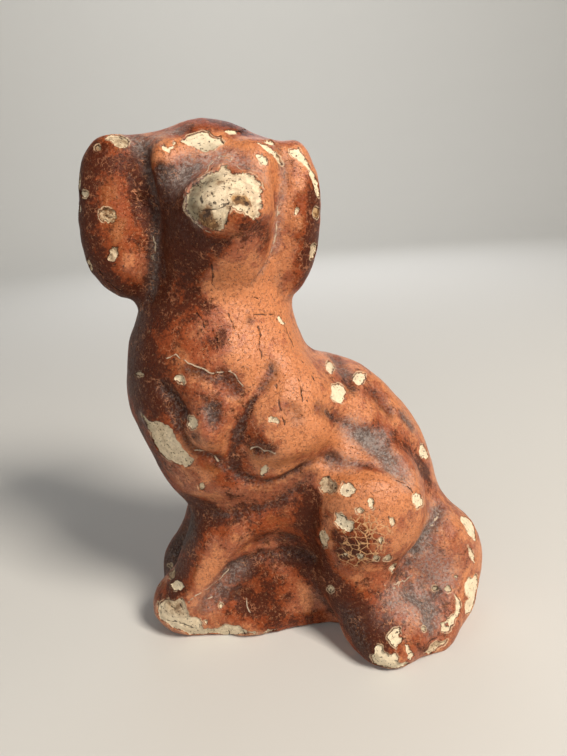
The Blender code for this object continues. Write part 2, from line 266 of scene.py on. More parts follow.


# Patches and streaks that change one layer of the finish: name, how much, half width in mm, pixels
# Tone: the coat's colour and wear zones, and painted shade where marked below
TONES = [
    ("neck_orange", 1.3, 9, (248, 300), (272, 290), (278, 320), (288, 345), (292, 372), (300, 395)),
    ("jaw_orange", 0.9, 5, (228, 268), (222, 285), (250, 290)),
    ("breast_orange", 0.5, 6, (215, 325), (235, 345), (255, 362)),
    ("lobe_orange", 0.4, 5, (290, 445), (278, 465), (305, 432), (312, 405)),
    ("lobe_patches", -0.7, 1.8, (262, 440), (272, 446), (282, 440)),
    ("lobe_crest_orange", 0.9, 3, (271, 385), (264, 398), (262, 412)),
    ("far_lobe_orange", 0.1, 4, (205, 435), (215, 440), (178, 458)),
    ("belly_low_brown", -0.9, 4, (215, 462), (236, 462), (226, 478)),
    ("shoulder_orange", 0.9, 6, (320, 432), (340, 448), (345, 412), (352, 398)),
    ("withers_orange", 0.5, 5, (312, 370), (325, 385)),
    ("back_orange", 1.3, 6, (375, 372), (390, 385), (410, 408), (422, 432)),
    ("haunch_orange", 1.1, 8, (340, 480), (362, 485), (390, 497), (405, 515)),
    ("near_ear_orange", 0.7, 4, (291, 165), (297, 182), (290, 205), (288, 235), (285, 255)),
    ("near_ear_patches", -1.0, 1.6, (299, 196), (295, 206)),
    ("near_ear_patch_low", -0.5, 1.8, (291, 228), (296, 240)),
    ("near_ear_patch_end", -0.9, 1.8, (298, 256), (290, 270)),
    ("near_cheek_orange", 0.4, 4, (272, 190), (270, 212)),
    ("crown_near_brown", -0.8, 5, (225, 124), (245, 132)),
    ("near_cheek_brown", -0.8, 3, (267, 225), (266, 250)),
    ("far_ear_brown", -0.9, 12, (100, 170), (103, 215), (113, 260)),
    ("far_ear_orange", 0.15, 3.5, (106, 185), (110, 205), (120, 235), (130, 262)),
    ("far_ear_end_orange", 1.3, 4, (138, 268), (146, 284)),
    ("far_brow_orange", 0.4, 3.5, (165, 158), (170, 168)),
    ("crown_brown", -0.9, 5, (185, 128), (200, 122), (230, 122)),
    ("foreleg_orange", 0.35, 5, (235, 535), (220, 545), (205, 560)),
    ("base_hump_dark", -1.2, 4, (240, 566), (258, 572), (270, 582)),
    ("base_side_dark", -0.7, 4, (315, 565), (318, 585)),
    ("base_left_brown", -0.7, 5, (232, 592), (258, 602), (288, 598)),
    ("base_orange", -0.15, 4, (285, 580), (300, 582)),
    ("arch_brown", -0.9, 4, (215, 522), (222, 532)),
    # Painted shade along the far ear's outer rim, over its red-brown edge
    ("far_ear_outer_dark", -1.3, 6, (88, 160), (80, 190), (80, 230), (92, 270), (112, 296)),
    ("far_ear_red", -0.3, 4, (98, 165), (120, 160), (138, 175), (142, 205)),
    # Painted cast shadow of the head on the far ear's inner part, over red crazing
    ("far_ear_inner_dark", -0.3, 4, (143, 205), (143, 235)),
    # Painted shade under the far ear
    ("far_ear_low_dark", -0.8, 4, (120, 296), (136, 302)),
    # Painted shade on the far cheek, over dark coat, and down the figure's whole shaded left side
    ("far_cheek_dark", -2.0, 7, (168, 192), (172, 225), (172, 255)),
    ("far_cheek_side", -0.8, 4, (186, 238), (190, 262)),
    ("left_side_painted_shade", -0.35, 10, (165, 320), (160, 360), (168, 410), (185, 470)),
    # Painted shade under the muzzle, over dark coat
    ("jaw_dark", -1.4, 5, (185, 225), (196, 246), (212, 250)),
    ("notch_brown", -0.8, 2.6, (233, 217), (243, 219), (251, 226)),
    ("throat_dark", -0.6, 4, (200, 268), (190, 290)),
    ("near_ear_outer_dark", -1.8, 4.5, (316, 195), (315, 228), (312, 256), (302, 280)),
    ("near_ear_top_dark", -0.3, 3, (302, 175), (308, 190)),
    ("near_ear_side_brown", -0.6, 3.5, (304, 205), (304, 235)),
    # Painted shade along the chest's far outline
    ("chest_outline_dark", -2.0, 9, (148, 306), (140, 330), (134, 380), (142, 405)),
    ("chest_side_brown", -0.6, 6, (165, 320), (162, 345), (160, 370)),
    ("bib_brown", -0.9, 5.5, (200, 306), (214, 314), (222, 330)),
    ("bib_brown_low", -0.4, 4.5, (192, 340), (205, 352), (216, 340)),
    # Painted shade on the chest's lower left edge
    ("chest_low_dark", -1.7, 8, (142, 435), (157, 470), (174, 492), (192, 505)),
    ("breast_red", -0.3, 6, (160, 400), (200, 395), (225, 400), (205, 375)),
    ("breast_line_dark", -1.2, 1.5, (272, 366), (265, 386), (253, 402), (245, 419), (236, 440),
     (232, 457), (237, 471)),
    ("flank_red", -0.7, 3.4, (376, 424), (396, 440), (414, 456), (426, 474)),
    ("flank_dark", -0.9, 1.8, (421, 466), (427, 476)),
    ("shoulder_side_dark", -0.7, 2.8, (336, 416), (350, 424), (362, 430)),
    ("withers_red", -0.8, 2.2, (316, 366), (322, 392), (318, 412)),
    ("haunch_top_dark", -0.9, 1.6, (340, 464), (362, 467), (385, 474)),
    ("haunch_side_red", -1.0, 3, (384, 508), (398, 512), (408, 530)),
    ("haunch_left_red", -0.7, 2.4, (336, 498), (342, 506), (330, 512)),
    ("throat_red", -0.5, 2.2, (292, 404), (298, 420), (306, 436)),
    ("lobe_low_dark", -0.8, 1.6, (250, 478), (266, 481), (284, 476)),
    ("belly_red", -0.7, 4, (252, 436), (256, 448)),
    # Painted shade on the far foreleg and the near foreleg's shaded side
    ("foreleg_outer_dark", -1.7, 6, (190, 515), (182, 535), (170, 552), (162, 575)),
    ("foreleg_inner_dark", -1.9, 5.5, (200, 506), (197, 522), (193, 542), (187, 560), (180, 578)),
    ("under_chest_red", -0.8, 7, (262, 528), (290, 524), (305, 540), (305, 560)),
    ("under_chest_brown", -0.2, 6, (235, 512), (262, 500)),
    # Painted shade along the haunch's left edge
    ("haunch_front_dark", -1.4, 4.5, (312, 500), (313, 525), (323, 560), (333, 590)),
    ("haunch_dark", -2.0, 2.6, (338, 538), (346, 544), (342, 551)),
    ("haunch_dark_side", -0.7, 4.0, (360, 530), (350, 560)),
    ("haunch_low_red", -0.35, 5, (350, 575), (375, 580)),
    # Painted shade on the base's left front
    ("base_front_dark", -1.3, 4, (160, 592), (170, 596), (176, 572)),
    ("foreleg_red", 0.3, 2.5, (188, 590), (196, 582), (204, 572)),
    ("fluff_front", -0.6, 3, (232, 568), (246, 566), (238, 576)),
    ("base_low_red", -0.5, 6, (225, 612), (262, 610)),
    ("base_edge_dark", -1.3, 3.5, (270, 624), (295, 622), (315, 618)),
    ("base_end_orange", 0.3, 4, (300, 600), (316, 600)),
    # Painted shade on the hind foot's shaded left side
    ("hind_side_dark", -1.8, 7, (342, 605), (352, 622), (366, 645)),
    ("hind_front_dark", -1.4, 4, (360, 612), (370, 630), (378, 642)),
    ("hind_red", -0.6, 6, (375, 610), (388, 622), (400, 635)),
    ("tail_red", -0.3, 6, (430, 560), (450, 560), (440, 540)),
    ("tail_low_red", -0.4, 5, (440, 610), (425, 635)),
    ("haunch_craze_red", -0.45, 5, (356, 530), (372, 528), (376, 548), (360, 556)),
]

DUST_AND_SHADE = [
    ("grey_bridge", 1.3, 5, (184, 176), (196, 166), (212, 158)),
    ("grey_brow", 0.9, 3.0, (236, 160), (250, 168), (262, 176)),
    ("grey_crown_side", 1.1, 3.4, (132, 138), (145, 143), (158, 137), (172, 132)),
    ("grey_ear_fold", 0.6, 1.6, (147, 168), (154, 190), (156, 240), (153, 290)),
    ("grey_near_fold", 0.8, 1.6, (282, 165), (278, 215), (275, 248), (262, 270)),
    ("grey_oval", 0.9, 2.0, (209, 410), (211, 418)),
    ("grey_foreleg", 0.8, 4.5, (208, 600), (222, 585), (236, 570)),
    ("grey_far_foreleg", 0.15, 4.5, (190, 545), (182, 562)),
    ("grey_flank", 1.4, 3.6, (350, 428), (362, 436), (376, 447), (392, 464), (404, 478)),
    ("grey_flank_branch", 0.9, 2.6, (372, 444), (384, 434)),
    ("grey_shoulder", 1.0, 2.8, (336, 462), (352, 464)),
    ("grey_tail", 1.2, 4, (438, 510), (428, 530), (418, 545)),
    ("grey_tail_side", 0.9, 6, (415, 560), (430, 570), (440, 575)),
    ("grey_hind", 1.3, 4.5, (412, 598), (426, 606), (430, 620), (398, 598)),
    ("grey_withers", 0.8, 3.4, (318, 350), (334, 358), (345, 372)),
    ("grey_rear", 0.8, 2.5, (404, 416), (412, 428)),
    ("grey_chip_top", 0.9, 2.0, (142, 416), (148, 426)),
    # Partly painted shade: the grey on the muzzle's shaded left side
    ("muzzle_grey_and_shade", 1.5, 3.2, (208, 178), (194, 188), (190, 202), (195, 214)),
    ("muzzle_pale_patch", 0.5, 1.0, (222, 211), (226, 209)),
    ("grey_thigh", 0.5, 5, (440, 562), (430, 575), (445, 580)),
    ("grey_hind_high", 0.4, 5, (395, 600), (388, 612), (402, 616)),
]

CRAZING = [
    ("lobe_craze", 0.35, 4, (268, 420), (280, 440), (262, 460)),
    ("near_ear_craze", 0.4, 4, (296, 190), (296, 230), (292, 262)),
    ("haunch_craze", 1.2, 5, (352, 540), (362, 526), (378, 536), (370, 552), (350, 558)),
    ("far_ear_craze", 0.35, 5, (98, 160), (115, 170), (135, 185)),
    ("far_ear_inner_craze", 0.35, 4, (142, 200), (144, 230), (140, 262)),
    ("belly_craze", 0.4, 5, (252, 415), (258, 435), (246, 455)),
    ("hind_craze", 0.4, 6, (385, 600), (400, 620)),
]

SOIL = [
    ("muzzle_low_soil", 1.9, 1.9, (204, 215), (203, 222), (211, 225)),
    ("muzzle_near_soil", 0.8, 1.0, (246, 204), (252, 200), (254, 216)),
    ("muzzle_brow_soil", 0.5, 1.2, (216, 180), (225, 178)),
    ("nose_stain", 3.2, 1.1, (236, 198), (241, 199), (246, 199)),
    ("muzzle_notch_soil", 0.7, 0.9, (228, 204), (229, 207)),
    ("front_foot_soil", 0.7, 2.6, (170, 607), (178, 608)),
]

# Near-black marks: dirt in the flank, hind, tail, bridge and rear hollows, and painted shade on the shaded
# foreleg, far cheek, hind side and left edges
SOOT_AND_SHADE = [
    ("foreleg_painted_shade", 1.2, 5, (190, 530), (182, 545), (170, 556)),
    ("far_cheek_painted_shade", 0.5, 5, (168, 192), (172, 225)),
    ("hind_side_painted_shade", 0.7, 4, (350, 618), (360, 640)),
    ("left_edge_painted_shade", 0.7, 4, (140, 430), (150, 455), (168, 485)),
    ("chest_edge_painted_shade", 0.5, 4, (142, 312), (134, 350), (134, 390)),
    ("flank_soot", 0.7, 2.8, (362, 436), (376, 448), (390, 462)),
    ("hind_soot", 0.6, 3.0, (412, 598), (426, 606), (430, 622)),
    ("tail_soot", 0.5, 2.6, (436, 512), (426, 532), (416, 548)),
    ("bridge_soot", 0.5, 3.0, (182, 178), (192, 170)),
    ("rear_soot", 0.35, 2.0, (403, 418), (410, 426)),
]

# Dark stains and pits on the muzzle's plaster, and a painted shadow under the bead
STAINS_AND_SHADOW = [
    ("muzzle_low_stain", 1.15, 0.95, (203, 216), (207, 214)),
    ("muzzle_low_dots", 1.0, 0.5, (211, 222), (216, 226)),
    ("muzzle_low_edge", 0.8, 0.5, (198, 218), (201, 224)),
    ("muzzle_pit_dots", 2.6, 0.62, (199, 198), (200, 202)),
    ("muzzle_pit_dots_low", 2.4, 0.6, (213, 202), (215, 202)),
    ("muzzle_pit_dots_high", 1.0, 0.45, (222, 175), (227, 180)),
    ("muzzle_pit_dots_near", 2.6, 0.62, (247, 204), (250, 204)),
    ("bead_shade", 0.6, 0.4, (236, 184), (239, 185)),
    ("nose_stain_dark", 0.8, 1.1, (237, 198), (245, 199)),
]

TINTS = dict(tone=TONES, dust_and_shade=DUST_AND_SHADE, craze=CRAZING, soil=SOIL, grime_and_shade=SOOT_AND_SHADE, crack_and_shadow=STAINS_AND_SHADOW)

# Lifted edges and hairlines of the coat that show pale, and painted highlights along the ear folds and the
# tail
PALE_LINES = [
    ("flake_lip", (183, 206), (184, 198), (186, 189), (191, 183), (200, 178), (206, 172), (209, 165),
     (215, 159), (221, 155), (229, 158), (235, 164), (242, 171)),
    ("flake_lip_near", (246, 174), (252, 177), (258, 181), (262, 187)),
    ("flake_lip_low", (183, 209), (188, 217), (196, 224), (205, 230), (213, 234)),
    ("far_crack", (168, 359), (176, 354), (187, 363), (198, 367), (214, 374)),
    ("far_crack_end", (218, 373), (230, 372), (237, 378), (243, 386)),
    ("lobe_crack", (194, 452), (206, 452), (213, 454), (219, 461)),
    ("belly_crack", (250, 449), (257, 447), (263, 451), (275, 453)),
    ("ear_fold_glint", (153, 236), (155, 244), (154, 253), (155, 261)),
    ("near_fold_glint", (280, 200), (277, 215), (277, 235), (272, 252), (264, 266)),
    ("foreleg_hair", (229, 571), (222, 578), (214, 585), (203, 590), (193, 596), (188, 601)),
    ("foreleg_arc", (208, 600), (214, 597), (219, 599), (222, 605)),
    ("base_hair", (245, 588), (246, 598), (248, 608), (255, 620)),
    ("thigh_hair", (412, 575), (405, 581), (396, 584), (385, 586)),
    ("thigh_hair_low", (404, 580), (398, 586), (388, 590)),
    ("tail_glint", (440, 512), (436, 521), (430, 528)),
]

# Cracks, slits and pits that show dark, and a painted shadow line under the muzzle's lifted flake; one
# pixel makes a dot
DARK_LINES = [
    ("forehead_slit", (204, 131), (210, 133), (215, 137), (221, 136), (221, 139), (225, 143)),
    ("crown_slit", (236, 131), (241, 130), (245, 129)),
    ("flake_shadow", (188, 191), (193, 185), (202, 180), (208, 175), (212, 167)),
    ("patch_slit", (338, 514), (344, 517), (347, 521)),
    ("plaster_crack", (199, 211), (209, 210), (219, 208), (225, 205), (229, 204)),
    ("plaster_crack_end", (227, 203), (224, 204)),
    ("muzzle_pit_left", (199, 198), (200, 202)),
    ("muzzle_pit_high", (206, 193)),
    ("muzzle_pit_middle", (212, 202), (214, 202)),
    ("muzzle_pit_top", (218, 178)),
    ("muzzle_pit_brow", (228, 181)),
    ("muzzle_pit_nose", (231, 196)),
    ("muzzle_pit_near", (247, 204), (250, 203)),
    ("muzzle_pit_side", (250, 198)),
    ("muzzle_stain", (205, 216), (209, 214)),
    ("muzzle_stain_low", (200, 219), (202, 222)),
    ("muzzle_stain_end", (213, 222), (216, 221)),
    ("foot_dirt_line", (166, 620), (174, 623), (183, 625), (192, 628), (200, 632)),
    ("rim_dirt", (213, 633), (214, 637)),
    ("rim_dirt_middle", (228, 632), (230, 637)),
    ("rim_dirt_near", (243, 632), (246, 635)),
    ("foot_dirt", (170, 606), (174, 610)),
    ("foot_dirt_near", (179, 604), (182, 611)),
    ("tail_slit", (424, 647), (430, 641), (437, 637)),
    ("ear_round_scratch", (103, 213), (107, 216), (112, 217)),
    ("ear_round_scratch_low", (104, 218), (108, 221), (112, 221)),
    ("neck_ring_crack", (252, 316), (262, 314), (275, 315)),
    ("neck_drop_crack", (258, 326), (262, 336), (260, 348), (262, 360)),
    ("neck_long_crack", (284, 324), (292, 343), (303, 362), (315, 381)),
    ("jaw_crack", (249, 292), (254, 297), (258, 299)),
    ("breast_streak", (276, 385), (278, 398), (282, 410), (284, 425)),
    ("shoulder_streak", (296, 372), (300, 388), (303, 402), (302, 416)),
    ("throat_crack", (212, 262), (213, 276), (210, 290)),
    ("haunch_crack", (412, 492), (404, 484), (396, 480)),
    ("bib_crack", (196, 313), (201, 320), (205, 327)),
    ("bib_crack_low", (213, 331), (217, 340), (216, 352)),
    ("bib_crack_near", (228, 312), (232, 326), (240, 338)),
    ("ear_end_crack", (98, 270), (110, 284), (124, 292)),
]


def sight(x, y):
    """The direction from the eye through one pixel of the photograph."""
    across = (x - PICTURE[0] / 2) / FOCAL_PIXELS
    up = (PICTURE[1] / 2 - y) / FOCAL_PIXELS
    return (SIGHT_TURN @ Vector((across, up, -1.0))).normalized()


def on_figure(tree, pixels):
    """Where the pixels fall on the figure, in mm, with the directions its surface faces there.

    A pixel that misses the figure is drawn in towards the others' middle until it meets it.
    """
    middle = np.mean(pixels, axis=0)
    places, facing = [], []
    for pixel in pixels:
        for share in np.linspace(0.0, 0.9, 19):
            x, y = (1 - share) * np.array(pixel) + share * middle
            hit, normal, _, _ = tree.ray_cast(EYE, sight(x, y))
            if hit is not None:
                places.append(np.array(hit) * MM)
                facing.append(np.array(normal))
                break
    return np.array(places), np.array(facing)


def flat_axes(facing):
    """Two level directions across a surface that faces one way."""
    out = Vector(facing).normalized()
    across = out.cross(Vector((0, 0, 1)))
    if across.length < 0.1:
        across = out.cross(Vector((1, 0, 0)))
    across.normalize()
    return np.array(across), np.array(out.cross(across))


def depth_in_outline(spots, outline):
    """How far each flat spot lies inside a closed outline, and below zero outside it."""
    ends = np.roll(outline, -1, axis=0)
    nearest = np.full(len(spots), 1e9)
    inside = np.zeros(len(spots), bool)
    for start, end in zip(outline, ends):
        run = end - start
        along = np.clip((spots - start) @ run / max(run @ run, 1e-9), 0, 1)
        nearest = np.minimum(nearest, np.linalg.norm(spots - start - along[:, None] * run, axis=1))
        crosses = (start[1] > spots[:, 1]) != (end[1] > spots[:, 1])
        level = np.where(abs(run[1]) < 1e-9, 1e-9, run[1])
        inside ^= crosses & (spots[:, 0] < start[0] + (spots[:, 1] - start[1]) * run[0] / level)
    return np.where(inside, nearest, -nearest)


def roughened(corners, draw, unevenness):
    """The outline with two rounds of extra corners between its own, each moved a little aside."""
    for _ in range(2):
        finer = []
        for start, end in zip(corners, np.roll(corners, -1, axis=0)):
            run = end - start
            aside = draw.uniform(-unevenness, unevenness) * np.array((-run[1], run[0]))
            finer += [start, start + draw.uniform(0.4, 0.6) * run + aside]
        corners = np.array(finer)
    return corners


def outline_on(tree, feature):
    """A chip's outline laid flat where it lies: its middle, facing, flat axes and flat corners."""
    places, facing = on_figure(tree, feature["pixels"])
    middle, out = places.mean(axis=0), facing.mean(axis=0)
    across, up = flat_axes(out)
    flat = np.stack([(places - middle) @ across, (places - middle) @ up], axis=1)
    flat = roughened(flat, random.Random(feature["name"]), 0.20)
    return dict(feature, middle=middle, out=out / np.linalg.norm(out), across=across, up=up, flat=flat)


def bare_depth(chips, points, facing):
    """Millimetres inside the nearest chip's edge for each point, and each point's depth and soil."""
    bare = np.full(len(points), -6.0)
    depth = np.zeros(len(points))
    soil = np.zeros(len(points))
    for laid in chips:
        reach = np.linalg.norm(laid["flat"], axis=1).max() + 3.0
        near = np.nonzero((np.linalg.norm(points - laid["middle"], axis=1) < reach)
                          & (facing @ laid["out"] > 0.05))[0]
        gap = points[near] - laid["middle"]
        spots = np.stack([gap @ laid["across"], gap @ laid["up"]], axis=1)
        inside = depth_in_outline(spots, laid["flat"])
        better = inside > bare[near]
        chosen = near[better]
        bare[chosen] = inside[better]
        depth[chosen] = laid["depth"]
        soil[chosen] = laid["soil"]
    return bare, depth, soil


def near_line(points, places, radius):
    """1 on a line through places, falling smoothly to 0 at a radius from it."""
    nearest = np.full(len(points), 1e9)
    for start, end in zip(places, places[1:] if len(places) > 1 else places):
        run = end - start
        along = np.clip((points - start) @ run / max(run @ run, 1e-9), 0, 1)
        nearest = np.minimum(nearest, np.linalg.norm(points - start - along[:, None] * run, axis=1))
    share = np.clip(1 - nearest / radius, 0, 1)
    return share * share * (3 - 2 * share)


def points_of(mesh):
    """The mesh's points in mm and the directions they face."""
    places = np.empty(len(mesh.vertices) * 3, np.float32)
    facing = np.empty(len(mesh.vertices) * 3, np.float32)
    mesh.vertices.foreach_get("co", places)
    mesh.vertices.foreach_get("normal", facing)
    return places.reshape(-1, 3).astype(float) * MM, facing.reshape(-1, 3).astype(float)


def put_points(mesh, points):
    """Moves the mesh's points to places in mm."""
    mesh.vertices.foreach_set("co", (points / MM).astype(np.float32).ravel())
    mesh.update()


def fine_skin(solid):
    """A smooth copy of the solid's skin, its triangles paired and then split in four twice."""
    mesh = solid.data.copy()
    body = bmesh.new()
    body.from_mesh(mesh)
    bmesh.ops.remove_doubles(body, verts=body.verts, dist=1e-6)
    bmesh.ops.join_triangles(body, faces=body.faces, angle_face_threshold=math.radians(40),
                             angle_shape_threshold=math.radians(40))
    body.to_mesh(mesh)
    body.free()
    rough = bpy.data.objects.new("rough_skin", mesh)
    bpy.context.scene.collection.objects.link(rough)
    split = rough.modifiers.new("Split", "SUBSURF")
    split.levels = split.render_levels = SKIN_LEVELS
    graph = bpy.context.evaluated_depsgraph_get()
    skin = bpy.data.meshes.new_from_object(rough.evaluated_get(graph))
    bpy.data.objects.remove(rough)
    bpy.data.meshes.remove(mesh)
    return skin


def scraps_cut(bare, scraps, points, facing):
    """The chips' depths with the scraps of coat that stand inside them taken out again."""
    for scrap in scraps:
        scrap.update(depth=0.0, soil=0.0)
    return np.minimum(bare, -bare_depth(scraps, points, facing)[0])


def refined(skin, chips, lines):
    """Splits the skin's edges where they cross or lie close to a chip's edge or a drawn line."""
    body = bmesh.new()
    body.from_mesh(skin)
    for band, longest in REFINE_BANDS:
        body.normal_update()
        points = np.array([vertex.co for vertex in body.verts]) * MM
        facing = np.array([vertex.normal for vertex in body.verts])
        bare = bare_depth(chips, points, facing)[0]
        close = abs(bare) < band
        for places in lines:
            close |= near_line(points, places, 0.5 * band + 0.7) > 0
        body.verts.index_update()
        split = [edge for edge in body.edges
                 if close[edge.verts[0].index] and close[edge.verts[1].index]
                 and edge.calc_length() * MM > longest]
        bmesh.ops.subdivide_edges(body, edges=split, cuts=1, use_grid_fill=True)
    bmesh.ops.triangulate(body, faces=[face for face in body.faces if len(face.verts) > 4])
    body.to_mesh(skin)
    body.free()


def bumps(points, size, seed):
    """Smooth random heights from -1 to 1, about size mm from one swelling to the next."""
    shift = Vector((17.3 * seed, -9.1 * seed, 4.7 * seed))
    return np.array([noise.noise(Vector(point) / size + shift) for point in points])


def evened(skin, values, rounds):
    """Values at the skin's points, each round mixed with those of the points beside them."""
    edges = np.empty(len(skin.edges) * 2, np.int32)
    skin.edges.foreach_get("vertices", edges)
    first, second = edges.reshape(-1, 2).T
    size = len(skin.vertices)
    count = np.bincount(edges, minlength=size)
    for _ in range(rounds):
        total = [np.bincount(first, column[second], size) + np.bincount(second, column[first], size)
                 for column in values.T]
        values = 0.5 * values + 0.5 * np.stack(total, axis=1) / count[:, None]
    return values


def hidden_chips(points, facing):
    """Chips where the photograph doesn't reach: along the rim and on what stands proud behind."""
    draw = random.Random("hidden sides")
    eye = np.array(EYE) * MM
    away = ((eye - points) * facing).sum(axis=1) < -0.15 * np.linalg.norm(eye - points, axis=1)
    rim = np.nonzero(away & (points[:, 2] > 0.8) & (points[:, 2] < 5.0) & (facing[:, 2] > -0.5))[0]
    body = np.nonzero(away & (points[:, 2] > 10.0))[0]
    found = []
    for pool, count, low, high in ((rim, 16, 1.2, 4.2), (body, 30, 0.8, 3.0)):
        for number in range(count):
            index = pool[draw.randrange(len(pool))]
            size = draw.uniform(low, high) * draw.uniform(0.6, 1.0)
            across, up = flat_axes(facing[index])
            longer = draw.uniform(0.5, 1.0)
            lean = draw.uniform(0, math.pi)
            flat = []
            for step in range(9):
                angle = math.tau * step / 9
                reach = size * draw.uniform(0.7, 1.25)
                wide, tall = reach * math.cos(angle), reach * longer * math.sin(angle)
                flat.append((wide * math.cos(lean) - tall * math.sin(lean),
                             wide * math.sin(lean) + tall * math.cos(lean)))
            found.append(dict(name="hidden", middle=points[index], out=facing[index], across=across, up=up,
                              flat=roughened(np.array(flat), draw, 0.28), depth=CHIP_DEPTH,
                              soil=draw.uniform(0.1, 0.6)))
    return found


def keep_layer(skin, name, values):
    """Stores one value for each of the skin's points, for the finish to read by name."""
    layer = skin.attributes.new(name, "FLOAT", "POINT")
    layer.data.foreach_set("value", values.astype(np.float32))


def dressed_skin(solid):
    """The figure's fine skin, with its relief pressed in and the layers that its finish reads."""
    skin = fine_skin(solid)
    tree = BVHTree.FromPolygons([vertex.co for vertex in skin.vertices],
                                [face.vertices for face in skin.polygons])
    points, facing = points_of(skin)
    chips = [outline_on(tree, feature) for feature in CHIPS] + hidden_chips(points, facing)
    pale_lines = [on_figure(tree, pixels)[0] for _, *pixels in PALE_LINES]
    dark_lines = [on_figure(tree, pixels)[0] for _, *pixels in DARK_LINES]
    refined(skin, chips, pale_lines + dark_lines)
    points, facing = points_of(skin)
    bare, chip_depth, soil = bare_depth(chips, points, facing)
    bare = scraps_cut(bare, [outline_on(tree, feature) for feature in ISLANDS], points, facing)
    above = np.clip(points[:, 2] / 1.5, 0, 1)

    height = LUMP_HEIGHT * bumps(points, LUMP_SIZE, 1) + DIMPLE_HEIGHT * bumps(points, DIMPLE_SIZE, 2)
    # Grooves and dips darken with their dirt and painted shade
    grime_and_shade = np.zeros(len(points))
    for feature in HOLLOWS + SWELLS:
        places, _ = on_figure(tree, feature["pixels"])
        height -= feature["depth"] * near_line(points, places, GROOVE_REACH * feature["radius"])
        dirt = near_line(points, places, GRIME_AND_SHADE_REACH * feature["radius"])
        grime_and_shade = np.maximum(grime_and_shade, feature["grime_and_shade"] * dirt)
    scratch_and_glint, crack_and_shadow = np.zeros(len(points)), np.zeros(len(points))
    swayed = points + LINE_SWAY * np.stack([bumps(points, 2.2, seed) for seed in (4, 5, 6)], axis=1)
    for drawn, lines in ((scratch_and_glint, pale_lines), (crack_and_shadow, dark_lines)):
        for places in lines:
            np.maximum(drawn, near_line(swayed, places, LINE_WIDTH), out=drawn)
    height += LINE_RISE * scratch_and_glint - LINE_SINK * crack_and_shadow
    broken = np.clip(bare / 0.35 + 0.5, 0, 1)
    broken = broken * broken * (3 - 2 * broken)
    lip = np.exp(-((bare + 0.35) / 0.3) ** 2)
    pits = np.clip(bumps(points, 1.3, 3), 0, 1)
    height += LIP_HEIGHT * lip - broken * (chip_depth + PIT_DEPTH * pits)
    points = points + facing * (height * above)[:, None]
    points[:, 2] = np.maximum(points[:, 2], 0)
    put_points(skin, points)

    points, facing = points_of(skin)
    softened = evened(skin, points, 14)
    sharp = ((softened - points) * facing).sum(axis=1)
    # How far each point lies below the broad form; the finish paints shade in recesses from it
    sunk = ((evened(skin, softened, 130) - points) * facing).sum(axis=1)
    # Sharp creases darken too, as dirt and painted shade
    grime_and_shade = np.maximum(grime_and_shade, np.clip(sharp / 0.3 - 0.35, 0, 0.6))

    layers = dict(bare=np.clip(bare, -6, 6), soil=soil, grime_and_shade=grime_and_shade, sunk=np.clip(sunk / 0.9, -1, 1),
                  scratch_and_glint=scratch_and_glint, crack_and_shadow=crack_and_shadow)
    for name in ("tone", "dust_and_shade", "craze"):
        layers[name] = np.zeros(len(points))
    for name, patches in TINTS.items():
        for _, amount, radius, *pixels in patches:
            places, _ = on_figure(tree, pixels)
            layers[name] += amount * near_line(points, places, TINT_REACH * radius)
    for name in LAYERS:
        keep_layer(skin, name, layers[name])
    skin.shade_smooth()
    return skin


def linear(code, alpha=1.0):
    """A colour's sRGB hex code as the linear values that shaders take."""
    parts = [int(code[i:i + 2], 16) / 255 for i in (1, 3, 5)]
    return tuple(v / 12.92 if v <= 0.04045 else ((v + 0.055) / 1.055) ** 2.4 for v in parts) + (alpha,)


MATH, VECTOR, MIX = "ShaderNodeMath", "ShaderNodeVectorMath", "ShaderNodeMix"
NOISE, CELLS, RANGE = "ShaderNodeTexNoise", "ShaderNodeTexVoronoi", "ShaderNodeMapRange"


def add(tree, kind, inputs=None, output=0, **settings):
    """Adds one node with its settings; each input is a plain value or another node's output."""
    made = tree.nodes.new(kind)
    for name, value in settings.items():
        setattr(made, name, value)
    for key, value in (inputs or {}).items():
        if isinstance(value, bpy.types.NodeSocket):
            tree.links.new(value, made.inputs[key])
        else:
            made.inputs[key].default_value = value
    return made.outputs[output]


# Random growths that the finish is drawn with: mm between large marks, octaves, roughness
GROWTHS = dict(
    broad=(14.0, 2.0, 0.5),
    mottle=(5.5, 8.0, 0.72),
    blotch=(3.4, 9.0, 0.80),
    patch=(7.0, 2.0, 0.5),
    fine=(1.2, 4.0, 0.7),
    fibre=(0.9, 5.0, 0.82),
    grain=(0.8, 4.0, 0.75),
    speck=(0.65, 2.0, 0.6),
    ragged=(1.5, 6.0, 0.72),
    pit=(0.75, 2.0, 0.5),
    stain=(2.0, 5.0, 0.7),
)

# Marks that the growths leave: the growth, the value at which a mark starts, and where it is full
MARKS = dict(
    cracked_and_shaded=("stain", 0.46, 0.56),
    lifted=("patch", 0.48, 0.56),
    somewhere=("patch", 0.46, 0.58),
    worn_thin=("stain", 0.49, 0.57),
    broken=("blotch", 0.46, 0.56),
    kept=("blotch", 0.38, 0.46),
    specks=("speck", 0.645, 0.69),
    fluff=("fibre", 0.45, 0.62),
    grains=("grain", 0.50, 0.68),
    glints=("grain", 0.44, 0.28),
    soiled=("stain", 0.42, 0.60),
    pits=("pit", 0.63, 0.69),
)


